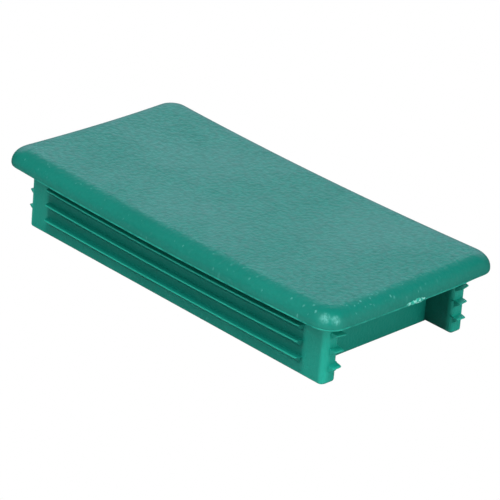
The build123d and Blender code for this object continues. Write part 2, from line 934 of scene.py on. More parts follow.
class NodeCanvas:
    """Short way to place and join nodes in a tree."""

    def __init__(self, tree: bpy.types.NodeTree) -> None:
        """Work on the given tree."""
        self.tree = tree

    def add(self, kind: str, **settings: object) -> Node:
        """Place a node of a kind and set its properties.

        Args:
            kind: Blender's name for the kind of node.
            settings: Properties of the node and their values.

        Returns:
            The node.
        """
        node = self.tree.nodes.new(kind)
        for name, value in settings.items():
            setattr(node, name, value)
        return node

    def join(self, source: Socket, target: Socket) -> None:
        """Join an output to an input."""
        self.tree.links.new(source, target)

    def supply(self, value: Feed, target: Socket) -> None:
        """Join a socket to an input, or set the input to a plain value.

        Args:
            value: Number, vector, colour or socket.
            target: Input to supply.
        """
        if isinstance(value, Socket):
            self.join(value, target)
        else:
            target.default_value = value

    def math(self, operation: str, *values: Feed) -> Socket:
        """Result of a maths node.

        Args:
            operation: Blender's name for the operation.
            values: Numbers or sockets for its inputs, in order.

        Returns:
            The result's socket.
        """
        node = self.add("ShaderNodeMath", operation=operation)
        self._feed(node, values)
        return node.outputs[0]

    def line(self, value: Socket, slope: float, start: float = 0.0) -> Socket:
        """Value times a slope, plus a start value."""
        scaled = self.math("MULTIPLY", value, slope)
        return self.math("ADD", start, scaled) if start else scaled

    def inverse(self, value: Socket) -> Socket:
        """1 less a value."""
        return self.math("SUBTRACT", 1.0, value)

    def vector_math(self, operation: str, *values: Feed) -> Socket:
        """Vector result of a vector maths node, or its value where it gives a number.

        Args:
            operation: Blender's name for the operation.
            values: Vectors or sockets for its inputs, in order.

        Returns:
            The result's socket.
        """
        node = self.add("ShaderNodeVectorMath", operation=operation)
        self._feed(node, values)
        number = operation in ("LENGTH", "DISTANCE", "DOT_PRODUCT")
        return node.outputs["Value" if number else "Vector"]

    def _feed(self, node: Node, values: Sequence[Feed]) -> None:
        """Supply a node's inputs in order."""
        for value, target in zip(values, node.inputs):
            self.supply(value, target)

    def ramp(self, value: Socket, low: float, high: float) -> Socket:
        """Value mapped smoothly from 0 at low to 1 at high.

        Args:
            value: Value to map.
            low: Value that gives 0.
            high: Value that gives 1.

        Returns:
            The mapped value's socket.
        """
        node = self.add("ShaderNodeMapRange", interpolation_type="SMOOTHSTEP")
        self.join(value, node.inputs["Value"])
        node.inputs["From Min"].default_value = low
        node.inputs["From Max"].default_value = high
        return node.outputs["Result"]

    def band(self, value: Socket, low: float, high: float, soft: float) -> Socket:
        """1 where a value lies between two bounds, fading over a soft width outside them.

        Args:
            value: Value to test.
            low: Lower bound.
            high: Upper bound.
            soft: Width of the fade.

        Returns:
            The band's socket.
        """
        return self.math(
            "SUBTRACT", self.ramp(value, low - soft, low), self.ramp(value, high, high + soft)
        )

    def mix_colour(self, share: Socket, first: Feed, second: Feed) -> Socket:
        """Colour between two colours or colour sockets.

        Args:
            share: Share of the second colour.
            first: Colour or socket at a share of 0.
            second: Colour or socket at a share of 1.

        Returns:
            The mixed colour's socket.
        """
        node = self.add("ShaderNodeMix", data_type="RGBA")
        self.join(share, node.inputs["Factor"])
        for name, value in (("A", first), ("B", second)):
            target = next(s for s in node.inputs if s.name == name and s.type == "RGBA")
            self.supply(value if isinstance(value, Socket) else (*value, 1.0), target)
        return next(s for s in node.outputs if s.type == "RGBA")

    def noise(self, place: Socket, scale: Feed, detail: float = 2.0, rough: float = 0.5) -> Socket:
        """Value of a noise texture at a place.

        Args:
            place: Place to read the noise at.
            scale: Waves per metre, as a number or a socket.
            detail: How many finer layers are added.
            rough: How strong the finer layers are.

        Returns:
            The noise's socket, about 0.5 on average.
        """
        node = self.add("ShaderNodeTexNoise")
        self.join(place, node.inputs["Vector"])
        self.supply(scale, node.inputs["Scale"])
        node.inputs["Detail"].default_value = detail
        node.inputs["Roughness"].default_value = rough
        return node.outputs["Fac"]

    def warped(self, place: Socket, scale: Feed, distance: float, detail: float = 2.0) -> Socket:
        """Place shifted unevenly by noise.

        Args:
            place: Place to shift.
            scale: Waves per metre, as a number or a socket.
            distance: Longest shift along each axis.
            detail: How many finer layers the noise has.

        Returns:
            The shifted place's socket.
        """
        waves = self.noise(place, scale, detail).node
        shift = self.vector_math("SCALE", waves.outputs["Color"])
        shift.node.inputs["Scale"].default_value = distance
        return self.vector_math("ADD", place, shift)


class EffectGroup:
    """Shader node group that is built once and then placed in each material."""

    name: str = "effect"
    inputs: tuple[tuple[str, str, object], ...] = ()
    outputs: tuple[tuple[str, str], ...] = ()

    def __init__(self) -> None:
        """Build the group's sockets and nodes."""
        self.tree = bpy.data.node_groups.new(self.name, "ShaderNodeTree")
        for label, kind, value in self.inputs:
            socket = self.tree.interface.new_socket(label, in_out="INPUT", socket_type=kind)
            socket.default_value = value
        for label, kind in self.outputs:
            self.tree.interface.new_socket(label, in_out="OUTPUT", socket_type=kind)
        canvas = NodeCanvas(self.tree)
        entry = canvas.add("NodeGroupInput")
        leave = canvas.add("NodeGroupOutput")
        self.wire(canvas, entry, leave)

    def wire(self, canvas: NodeCanvas, entry: Node, leave: Node) -> None:
        """Place the group's own nodes between its input and output nodes."""
        raise NotImplementedError

    def place(self, canvas: NodeCanvas, **values: Feed) -> Node:
        """Put the group in a material.

        Args:
            canvas: Material's canvas.
            values: Numbers, vectors or sockets for inputs; "_" stands for a space.

        Returns:
            The group's node.
        """
        node = canvas.add("ShaderNodeGroup", node_tree=self.tree)
        for label, value in values.items():
            canvas.supply(value, node.inputs[label.replace("_", " ")])
        return node


class MouldGrain(EffectGroup):
    """Leathery spark-eroded texture: soft cells with a fine tooth over them."""

    name: str = "mould_grain"
    inputs = (
        ("Place", "NodeSocketVector", (0.0, 0.0, 0.0)),
        ("Cell Scale", "NodeSocketFloat", 1600.0),
        ("Tooth Scale", "NodeSocketFloat", 6000.0),
        ("Tooth Share", "NodeSocketFloat", 0.3),
    )
    outputs = (("Height", "NodeSocketFloat"), ("Pits", "NodeSocketFloat"))
    warp: float = 0.5 * MM
    softness: float = 0.8
    broad_scale: float = 0.45
    broad_share: float = 0.4
    layers: float = 3.0
    tooth_roughness: float = 0.6
    pit_bounds: Span = (0.45, 0.9)

    def wire(self, canvas: NodeCanvas, entry: Node, leave: Node) -> None:
        """Warp a cell pattern with noise, so that its cells run into each other.

        Args:
            canvas: Group's canvas.
            entry: Group's input node.
            leave: Group's output node.
        """
        place = entry.outputs["Place"]
        scale = entry.outputs["Cell Scale"]
        moved = canvas.warped(place, scale, self.warp, detail=1.0)
        cells = canvas.add("ShaderNodeTexVoronoi", feature="SMOOTH_F1")
        canvas.join(moved, cells.inputs["Vector"])
        canvas.join(scale, cells.inputs["Scale"])
        cells.inputs["Smoothness"].default_value = self.softness
        broad = canvas.noise(moved, canvas.line(scale, self.broad_scale), self.layers)
        fine = entry.outputs["Tooth Scale"]
        tooth = canvas.noise(place, fine, self.layers, self.tooth_roughness)
        broad = canvas.line(broad, self.broad_share)
        body = canvas.math("ADD", cells.outputs["Distance"], broad)
        tooth = canvas.math("MULTIPLY", tooth, entry.outputs["Tooth Share"])
        canvas.join(canvas.math("ADD", body, tooth), leave.inputs["Height"])
        canvas.join(canvas.ramp(body, *self.pit_bounds), leave.inputs["Pits"])


class ToneDrift(EffectGroup):
    """Slow unevenness of colour, from flow in the mould and from handling."""

    name: str = "tone_drift"
    inputs = (
        ("Place", "NodeSocketVector", (0.0, 0.0, 0.0)),
        ("Patch Scale", "NodeSocketFloat", 60.0),
        ("Speck Scale", "NodeSocketFloat", 900.0),
    )
    outputs = (("Patches", "NodeSocketFloat"), ("Specks", "NodeSocketFloat"))
    patch_layers: float = 4.0
    patch_roughness: float = 0.55
    patch_bounds: Span = (0.3, 0.7)
    speck_layers: float = 1.0
    speck_bounds: Span = (0.68, 0.80)

    def wire(self, canvas: NodeCanvas, entry: Node, leave: Node) -> None:
        """Broad noise for patches, thresholded fine noise for specks.

        Args:
            canvas: Group's canvas.
            entry: Group's input node.
            leave: Group's output node.
        """
        place, scale = entry.outputs["Place"], entry.outputs["Patch Scale"]
        broad = canvas.noise(place, scale, self.patch_layers, self.patch_roughness)
        fine = canvas.noise(place, entry.outputs["Speck Scale"], self.speck_layers)
        canvas.join(canvas.ramp(broad, *self.patch_bounds), leave.inputs["Patches"])
        canvas.join(canvas.ramp(fine, *self.speck_bounds), leave.inputs["Specks"])


class ScuffPatch(EffectGroup):
    """Rubbed and scraped patch: pale streaks inside a soft-edged ball."""

    name: str = "scuff_patch"
    inputs = (
        ("Place", "NodeSocketVector", (0.0, 0.0, 0.0)),
        ("Centre", "NodeSocketVector", (0.0, 0.0, 0.0)),
        ("Radius", "NodeSocketFloat", 2.0 * MM),
        ("Streak Scale", "NodeSocketFloat", 1500.0),
        ("Streak Stretch", "NodeSocketVector", (1.0, 1.0, 0.25)),
    )
    outputs = (("Mask", "NodeSocketFloat"),)
    fade_bounds: Span = (0.2, 1.0)
    streak_layers: float = 3.0
    streak_roughness: float = 0.65
    streak_bounds: Span = (0.25, 0.75)

    def wire(self, canvas: NodeCanvas, entry: Node, leave: Node) -> None:
        """Streaky noise that fades out with distance from the patch's centre.

        Args:
            canvas: Group's canvas.
            entry: Group's input node.
            leave: Group's output node.
        """
        away = canvas.vector_math("DISTANCE", entry.outputs["Place"], entry.outputs["Centre"])
        share = canvas.math("DIVIDE", away, entry.outputs["Radius"])
        fade = canvas.inverse(canvas.ramp(share, *self.fade_bounds))
        stretched = canvas.vector_math(
            "MULTIPLY", entry.outputs["Place"], entry.outputs["Streak Stretch"]
        )
        scale = entry.outputs["Streak Scale"]
        streaks = canvas.noise(stretched, scale, self.streak_layers, self.streak_roughness)
        mask = canvas.math("MULTIPLY", fade, canvas.ramp(streaks, *self.streak_bounds))
        canvas.join(mask, leave.inputs["Mask"])


class Nicks(EffectGroup):
    """Small sparse nicks and pin marks, one in some of the cells of a loose pattern."""

    name: str = "nicks"
    inputs = (
        ("Place", "NodeSocketVector", (0.0, 0.0, 0.0)),
        ("Cell Scale", "NodeSocketFloat", 600.0),
        ("Mark Size", "NodeSocketFloat", 0.12),
        ("Kept Share", "NodeSocketFloat", 0.4),
    )
    outputs = (("Mask", "NodeSocketFloat"),)
    wobble: float = 0.35 * MM
    wobble_scale: float = 4000.0
    faintest: float = 0.4
    full_spot: float = 0.6

    def wire(self, canvas: NodeCanvas, entry: Node, leave: Node) -> None:
        """Keep a spot at the middle of those cells whose own chance is low enough.

        Args:
            canvas: Group's canvas.
            entry: Group's input node.
            leave: Group's output node.
        """
        moved = canvas.warped(entry.outputs["Place"], self.wobble_scale, self.wobble)
        cells = canvas.add("ShaderNodeTexVoronoi")
        canvas.join(moved, cells.inputs["Vector"])
        canvas.join(entry.outputs["Cell Scale"], cells.inputs["Scale"])
        size = entry.outputs["Mark Size"]
        spot = canvas.math("SUBTRACT", size, cells.outputs["Distance"])
        spot = canvas.math("DIVIDE", spot, size)
        chance = canvas.add("ShaderNodeSeparateColor")
        canvas.join(cells.outputs["Color"], chance.inputs["Color"])
        kept = canvas.math("LESS_THAN", chance.outputs["Red"], entry.outputs["Kept Share"])
        strength = canvas.math("ADD", self.faintest, chance.outputs["Green"])
        strength = canvas.math("MULTIPLY", kept, strength)
        spot = canvas.ramp(spot, 0.0, self.full_spot)
        canvas.join(canvas.math("MULTIPLY", spot, strength), leave.inputs["Mask"])


@dataclass(frozen=True)
class Plastic:
    """Colours and gloss of the cap's plastic, and the size and depth of its mould texture."""

    body: Colour = (0.005, 0.215, 0.166)
    deep: Colour = (0.004, 0.190, 0.145)
    # Pale tone of worn grain and flash, also used as the painted highlight along the barb tips.
    bruised: Colour = (0.16, 0.56, 0.50)
    rubbed_tone_and_tip_highlight: Colour = (0.016, 0.37, 0.275)
    # Painted light: a paler tone that stands in for light on the stubs' ends, the plug's flats and
    # cross walls, and low on the plate's near corner.
    painted_light_tone: Colour = (0.009, 0.365, 0.272)
    # Darker tone for the grain's pits, also used as painted shade on the plate's rim, in the
    # plug's grooves and on the stubs' inner faces.
    pits_and_painted_shade: Colour = (0.003, 0.145, 0.112)
    torn: Colour = (0.34, 0.78, 0.70)
    roughness: float = 0.45
    grain_size: float = 0.70 * MM
    grain_depth: float = 0.18 * MM
    fine_size: float = 0.28 * MM


class Effects:
    """Effect groups that the materials share, each built once."""

    def __init__(self) -> None:
        """Build each group."""
        self.grain = MouldGrain()
        self.drift = ToneDrift()
        self.scuff = ScuffPatch()
        self.nicks = Nicks()


@dataclass(frozen=True)
class Finish:
    """Finish of one kind of surface, made from the cap's plastic and the shared effects."""

    plastic: Plastic
    effects: Effects

    def material(self, surface: Surface) -> Material:
        """Make the surface's material.

        Args:
            surface: Kind of surface, which names the material.

        Returns:
            The material.
        """
        made = bpy.data.materials.new(surface.value)
        made.use_nodes = True
        made.node_tree.nodes.clear()
        canvas = NodeCanvas(made.node_tree)
        shader = canvas.add("ShaderNodeBsdfPrincipled")
        output = canvas.add("ShaderNodeOutputMaterial")
        canvas.join(shader.outputs["BSDF"], output.inputs["Surface"])
        self.dress(canvas, shader, canvas.add("ShaderNodeTexCoord").outputs["Object"])
        return made

    def dress(self, canvas: NodeCanvas, shader: Node, place: Socket) -> None:
        """Wire the finish into the shader's colour, roughness and normal."""
        raise NotImplementedError

    def bump(self, canvas: NodeCanvas, shader: Node, height: Socket, depth: float) -> None:
        """Feed a height into the shader's normal.

        Args:
            canvas: Material's canvas.
            shader: Principled shader.
            height: Height of about 0 to 1.
            depth: Real depth of a height of 1.
        """
        bump = canvas.add("ShaderNodeBump")
        bump.inputs["Distance"].default_value = depth
        canvas.join(height, bump.inputs["Height"])
        canvas.join(bump.outputs["Normal"], shader.inputs["Normal"])


@dataclass(frozen=True)
class NickPattern:
    """How the nicks of one kind are spaced, sized and stretched."""

    cell_scale: float
    mark_size: float
    kept_share: float
    stretch: tuple[float, float, float] = (1.0, 1.0, 1.0)

    def mask(self, canvas: NodeCanvas, nicks: Nicks, place: Socket) -> Socket:
        """Mask of the nicks.

        Args:
            canvas: Material's canvas.
            nicks: Group that makes nicks.
            place: Place on the cap, as a socket.

        Returns:
            The mask's socket.
        """
        node = nicks.place(
            canvas,
            Place=canvas.vector_math("MULTIPLY", place, self.stretch),
            Cell_Scale=self.cell_scale,
            Mark_Size=self.mark_size,
            Kept_Share=self.kept_share,
        )
        return node.outputs["Mask"]


@dataclass(frozen=True)
class Scrape:
    """Pale scrape on the cover's worn corner.

    Args:
        offset: Its centre from the plate's upper corner of high X and low Y.
        radius: How far it reaches.
    """

    offset: tuple[float, float, float]
    radius: float


@dataclass(frozen=True)
class GrainedCover(Finish):
    """Grained field inside a smoother nicked rim, scuffed at the corner of high X and low Y.

    Args:
        plate: Plate whose rim bounds the field.
        tooth_share: Strength of the grain's fine tooth.
        patch_scale: Waves per metre of the slow drift of tone.
        speck_scale: Waves per metre of the pale specks.
        speck_share: Strength of the specks.
        rim_shade: Strength of the painted shade on the rim, away from the near corner.
        least_pits: How dark the grain's pits are on the rim.
        field_pits: How much darker they are on the field.
        mottle_size: Size of the field's pale mottles.
        mottle_layers: How many finer layers the mottles have.
        mottle_roughness: Strength of those layers.
        mottle_bounds: Noise values at which a mottle starts and is full.
        mottle_share: Strength of the mottles.
        pale_roughness: Roughness that pale marks add.
        patch_roughness: Roughness that the drift of tone adds.
        least_depth: Share of the grain's depth that the rim has.
        even_depth: Share of the grain's depth where the drift of tone is lowest.
        patch_depth: Share that the drift of tone adds.
        mark_depth: Depth of the rim's nicks.
        scuff_height: Height that the scrapes are raised by.
        field_join: How roundly the field turns its corners.
        field_edge: Distances inside the rim's round at which the field starts and is full.
        down: Upward parts of the normal below which a face looks down, and above which not.
        near_reach: Distances from the near corner at which its wear, and the lifting of the rim's
            painted shade, are full and are gone.
        painted_light_inset: How far inside both sides the painted light low on the near corner
            lies.
        painted_light_height: Its height above the plate's underside.
        painted_light_reach: Distances at which the painted light is full and is gone.
        painted_light_share: Strength of the painted light.
        fine_nicks: Fine nicks all round the rim.
        fine_share: Strength of the fine nicks everywhere and, added to it, near the corner.
        ticks: Upright ticks near the corner.
        tick_share: Strength of the ticks.
        scrapes: Pale scrapes on the near corner.
        scrape_scale: Waves per metre of the scrapes' streaks.
        scrape_share: Strength of the scrapes.
    """

    plate: CoverPlate
    tooth_share: float = 0.45
    patch_scale: float = 55.0
    speck_scale: float = 700.0
    speck_share: float = 0.05
    rim_shade: float = 0.32
    least_pits: float = 0.2
    field_pits: float = 0.4
    mottle_size: float = 0.95 * MM
    mottle_layers: float = 3.0
    mottle_roughness: float = 0.6
    mottle_bounds: Span = (0.36, 0.64)
    mottle_share: float = 0.21
    pale_roughness: float = 0.2
    patch_roughness: float = 0.05
    least_depth: float = 0.3
    even_depth: float = 0.6
    patch_depth: float = 0.8
    mark_depth: float = 0.8
    scuff_height: float = 0.5
    field_join: float = 3.5 * MM
    field_edge: Span = (-1.4 * MM, 0.4 * MM)
    down: Span = (-0.8, -0.4)
    near_reach: Span = (5.0 * MM, 34.0 * MM)
    painted_light_inset: float = 1.0 * MM
    painted_light_height: float = 0.6 * MM
    painted_light_reach: Span = (1.2 * MM, 4.5 * MM)
    painted_light_share: float = 0.22
    fine_nicks: NickPattern = NickPattern(900.0, 0.17, 0.7, (1.0, 1.0, 0.5))
    fine_share: Span = (0.25, 0.2)
    ticks: NickPattern = NickPattern(780.0, 0.24, 0.75, (1.0, 1.0, 0.3))
    tick_share: float = 0.6
    scrapes: tuple[Scrape, ...] = (
        Scrape((-2.07 * MM, 0.97 * MM, -0.78 * MM), 1.25 * MM),
        Scrape((-0.70 * MM, 2.21 * MM, -1.04 * MM), 1.15 * MM),
    )
    scrape_scale: float = 2700.0
    scrape_share: float = 0.85

    def dress(self, canvas: NodeCanvas, shader: Node, place: Socket) -> None:
        """Wire the finish into the shader's colour, roughness and normal.

        Args:
            canvas: Material's canvas.
            shader: Principled shader.
            place: Place on the cap, as a socket.
        """
        field = self._field(canvas, place)
        near = self._near_corner(canvas, place)
        grain = self.effects.grain.place(
            canvas,
            Place=place,
            Cell_Scale=1.0 / self.plastic.grain_size,
            Tooth_Scale=1.0 / self.plastic.fine_size,
            Tooth_Share=self.tooth_share,
        )
        drift = self.effects.drift.place(
            canvas, Place=place, Patch_Scale=self.patch_scale, Speck_Scale=self.speck_scale
        )
        patches = drift.outputs["Patches"]
        scuff = self._scuffs(canvas, place)
        marks = self._rim_marks(canvas, place, field, near)
        specks = canvas.line(drift.outputs["Specks"], self.speck_share)
        pale = canvas.math("MAXIMUM", scuff, canvas.math("MAXIMUM", marks, specks))

        colour = canvas.mix_colour(patches, self.plastic.deep, self.plastic.body)
        colour = self._shade(canvas, colour, field, near, grain.outputs["Pits"])
        colour = self._mottle(canvas, colour, place, field)
        # Painted light low on the near corner.
        corner_light = self._corner_painted_light(canvas, place)
        colour = canvas.mix_colour(corner_light, colour, self.plastic.painted_light_tone)
        colour = canvas.mix_colour(pale, colour, self.plastic.bruised)
        canvas.join(colour, shader.inputs["Base Color"])

        rough = canvas.line(pale, self.pale_roughness, self.plastic.roughness)
        rough = canvas.math("ADD", rough, canvas.line(patches, self.patch_roughness))
        canvas.join(rough, shader.inputs["Roughness"])

        depth = canvas.line(field, 1.0 - self.least_depth, self.least_depth)
        uneven = canvas.line(patches, self.patch_depth, self.even_depth)
        depth = canvas.math("MULTIPLY", depth, uneven)
        height = canvas.math("MULTIPLY", grain.outputs["Height"], depth)
        height = canvas.math("SUBTRACT", height, canvas.line(marks, self.mark_depth))
        height = canvas.math("ADD", height, canvas.line(scuff, self.scuff_height))
        self.bump(canvas, shader, height, self.plastic.grain_depth)

    def _shade(
        self, canvas: NodeCanvas, colour: Socket, field: Socket, near: Socket, pits: Socket
    ) -> Socket:
        """Paint shade over the rim away from the near corner, and darken the pits of the grain.

        Args:
            canvas: Material's canvas.
            colour: Colour so far.
            field: Mask of the field.
            near: Mask of the near corner.
            pits: Mask of the grain's pits.

        Returns:
            The colour's socket.
        """
        # Painted shade over the rim, lifted towards the near corner.
        rim = canvas.inverse(field)
        shade = canvas.math("SUBTRACT", self.rim_shade, canvas.line(near, self.rim_shade))
        shade = canvas.math("MULTIPLY", rim, shade)
        colour = canvas.mix_colour(shade, colour, self.plastic.pits_and_painted_shade)
        dark = canvas.line(field, self.field_pits, self.least_pits)
        dark = canvas.math("MULTIPLY", pits, dark)
        return canvas.mix_colour(dark, colour, self.plastic.pits_and_painted_shade)

    def _mottle(self, canvas: NodeCanvas, colour: Socket, place: Socket, field: Socket) -> Socket:
        """Mottle the field paler, where its grain is worn.

        Args:
            canvas: Material's canvas.
            colour: Colour so far.
            place: Place on the cap, as a socket.
            field: Mask of the field.

        Returns:
            The colour's socket.
        """
        scale = 1.0 / self.mottle_size
        worn = canvas.noise(place, scale, self.mottle_layers, self.mottle_roughness)
        mottle = canvas.ramp(worn, *self.mottle_bounds)
        mottle = canvas.math("MULTIPLY", mottle, canvas.line(field, self.mottle_share))
        return canvas.mix_colour(mottle, colour, self.plastic.rubbed_tone_and_tip_highlight)

    def _field(self, canvas: NodeCanvas, place: Socket) -> Socket:
        """1 over the plate's flat field, falling to 0 where its rim rounds over.

        Args:
            canvas: Material's canvas.
            place: Place on the cap, as a socket.

        Returns:
            The mask's socket.
        """
        split = canvas.add("ShaderNodeSeparateXYZ")
        canvas.join(place, split.inputs["Vector"])
        plate = self.plate
        margins = []
        for axis, half in (("X", plate.half_length), ("Y", plate.half_width)):
            reach = canvas.math("ABSOLUTE", split.outputs[axis])
            margins.append(canvas.math("SUBTRACT", half - plate.rim_round, reach))
        nearest = canvas.math("SMOOTH_MIN", *margins, self.field_join)
        inside = canvas.ramp(nearest, *self.field_edge)
        middle = plate.seat_height + plate.thickness / 2
        above = canvas.ramp(split.outputs["Z"], plate.seat_height, middle)
        return canvas.math("MULTIPLY", inside, above)

    def _not_underside(self, canvas: NodeCanvas) -> Socket:
        """0 on faces that look down, 1 on the others.

        Args:
            canvas: Material's canvas.

        Returns:
            The mask's socket.
        """
        split = canvas.add("ShaderNodeSeparateXYZ")
        canvas.join(canvas.add("ShaderNodeTexCoord").outputs["Normal"], split.inputs["Vector"])
        return canvas.ramp(split.outputs["Z"], *self.down)

    def _near_corner(self, canvas: NodeCanvas, place: Socket) -> Socket:
        """1 at the plate's corner of high X and low Y, falling to 0 along its sides.

        Args:
            canvas: Material's canvas.
            place: Place on the cap, as a socket.

        Returns:
            The mask's socket.
        """
        plate = self.plate
        corner = (plate.half_length, -plate.half_width, plate.seat_height)
        away = canvas.vector_math("DISTANCE", place, corner)
        return canvas.inverse(canvas.ramp(away, *self.near_reach))

    def _corner_painted_light(self, canvas: NodeCanvas, place: Socket) -> Socket:
        """Painted light on the lower part of the same corner: a paler tone that stands in for
        light.

        Args:
            canvas: Material's canvas.
            place: Place on the cap, as a socket.

        Returns:
            The strength's socket.
        """
        plate = self.plate
        spot = (
            plate.half_length - self.painted_light_inset,
            -plate.half_width + self.painted_light_inset,
            plate.seat_height + self.painted_light_height,
        )
        away = canvas.vector_math("DISTANCE", place, spot)
        share = canvas.inverse(canvas.ramp(away, *self.painted_light_reach))
        return canvas.line(share, self.painted_light_share)

    def _rim_marks(self, canvas: NodeCanvas, place: Socket, field: Socket, near: Socket) -> Socket:
        """Strength of the rim's nicks: fine ones all round, upright ticks near the corner.

        Args:
            canvas: Material's canvas.
            place: Place on the cap, as a socket.
            field: Mask of the field, which has none.
            near: Mask of the near corner.

        Returns:
            The strength's socket.
        """
        everywhere, added = self.fine_share
        fine = self.fine_nicks.mask(canvas, self.effects.nicks, place)
        fine = canvas.math("MULTIPLY", fine, canvas.line(near, added, everywhere))
        ticks = self.ticks.mask(canvas, self.effects.nicks, place)
        ticks = canvas.math("MULTIPLY", ticks, canvas.line(near, self.tick_share))
        marks = canvas.math("MAXIMUM", fine, ticks)
        marks = canvas.math("MULTIPLY", marks, canvas.inverse(field))
        return canvas.math("MULTIPLY", marks, self._not_underside(canvas))

    def _scuffs(self, canvas: NodeCanvas, place: Socket) -> Socket:
        """Strength of the pale scrapes on the near corner's round.

        Args:
            canvas: Material's canvas.
            place: Place on the cap, as a socket.

        Returns:
            The strength's socket.
        """
        plate = self.plate
        corner = Vector(
            (plate.half_length, -plate.half_width, plate.seat_height + plate.thickness)
        )
        values = []
        for scrape in self.scrapes:
            mark = self.effects.scuff.place(
                canvas,
                Place=place,
                Centre=corner + Vector(scrape.offset),
                Radius=scrape.radius,
                Streak_Scale=self.scrape_scale,
            )
            values.append(canvas.line(mark.outputs["Mask"], self.scrape_share))
        total = values[0]
        for value in values[1:]:
            total = canvas.math("MAXIMUM", total, value)
        return total


class PlugReach:
    """How far a shaded point lies along and across the cap, and how high, as sockets."""

    def __init__(self, canvas: NodeCanvas, place: Socket) -> None:
        """Split a place into its distances from the two upright middle planes and its height.

        Args:
            canvas: Material's canvas.
            place: Place on the cap, as a socket.
        """
        split = canvas.add("ShaderNodeSeparateXYZ")
        canvas.join(place, split.inputs["Vector"])
        self.along = canvas.math("ABSOLUTE", split.outputs["X"])
        self.across = canvas.math("ABSOLUTE", split.outputs["Y"])
        self.height = split.outputs["Z"]


